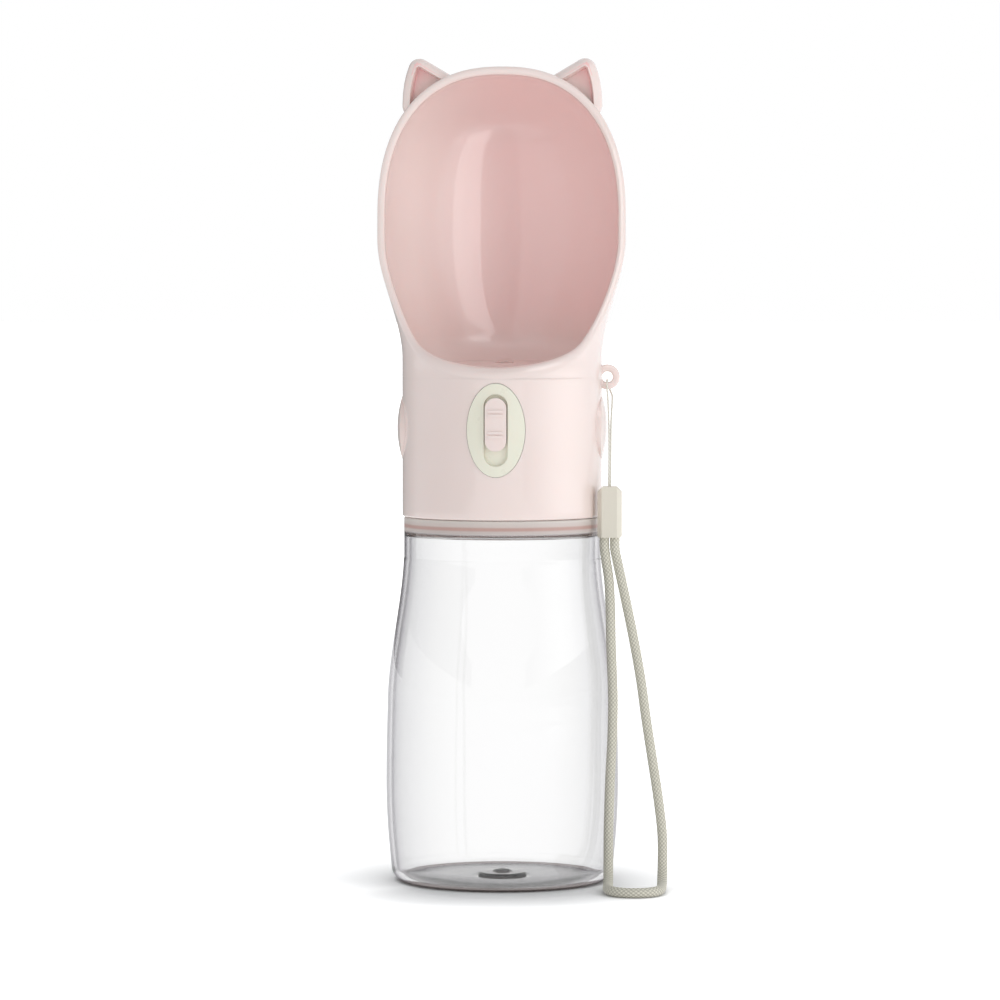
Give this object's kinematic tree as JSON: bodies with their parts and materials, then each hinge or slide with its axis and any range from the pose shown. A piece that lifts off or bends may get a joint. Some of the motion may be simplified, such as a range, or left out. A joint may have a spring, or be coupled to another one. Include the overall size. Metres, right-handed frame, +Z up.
{
  "type": "dog travel water bottle",
  "caption": "Clear bottle under a pink head with an open drinking scoop, two ears, an oval water button with a slide lock, and a braided wrist loop.",
  "frame": {"origin": "on the bottle's axis, at the table", "axes": "+Z up along the bottle's axis; -Y towards the water button and the open side of the scoop; +X towards the eyelet and the lanyard"},
  "size_m": [0.0876, 0.0765, 0.2468],
  "materials": {
    "clear_plastic": "clear and glossy",
    "pink_plastic": "satin pale pink",
    "collar_plastic": "satin pink",
    "cream_plastic": "satin cream",
    "valve_plastic": "natural white acetal",
    "seal_rubber": "translucent grey silicone",
    "screw_steel": "plain stainless",
    "string_fibre": "twisted off-white string",
    "cord_fibre": "braided beige cord",
    "bead_plastic": "satin beige"
  },
  "bodies": {
    "bottle": {"bottle_body": "clear_plastic"},
    "gasket": {"neck_gasket": "seal_rubber"},
    "head": {"head_shell": "pink_plastic", "screw_collar": "collar_plastic", "collar_screws": "screw_steel", "valve_housing": "valve_plastic", "housing_screws": "screw_steel", "inlet_seal": "seal_rubber", "outlet_seal": "seal_rubber", "return_spring": "screw_steel", "spring_cap": "valve_plastic", "lanyard_string": "string_fibre", "cord_bead": "bead_plastic", "wrist_loop": "cord_fibre"},
    "button": {"water_button": "cream_plastic", "push_bridge": "valve_plastic", "bridge_screws": "screw_steel", "valve_spool": "valve_plastic", "seal_front": "seal_rubber", "seal_middle": "seal_rubber", "seal_rear": "seal_rubber"},
    "lock": {"lock_slider": "pink_plastic", "lock_clip": "valve_plastic"}
  },
  "joints": [
    {"name": "head_rise", "type": "slide", "parent": "bottle", "child": "gasket", "axis": [0, 0, 1], "range_m": [0, 0.0102]},
    {"name": "head_turn", "type": "hinge", "parent": "gasket", "child": "head", "pos_m": [0, 0, 0.1235], "axis": [0, 0, 1], "range_deg": [0, 900]},
    {"name": "button_press", "type": "slide", "parent": "head", "child": "button", "axis": [0, 1, 0], "range_m": [0, 0.003], "stiffness_N_per_m": 250, "springref_m": -0.004, "deforming": ["return_spring"]},
    {"name": "lock_slide", "type": "slide", "parent": "button", "child": "lock", "axis": [0, 0, -1], "range_m": [0, 0.0044]}
  ],
  "couplings": [
    {"joint": "head_rise", "follows": "head_turn", "m_per_rad": 0.00063662}
  ]
}
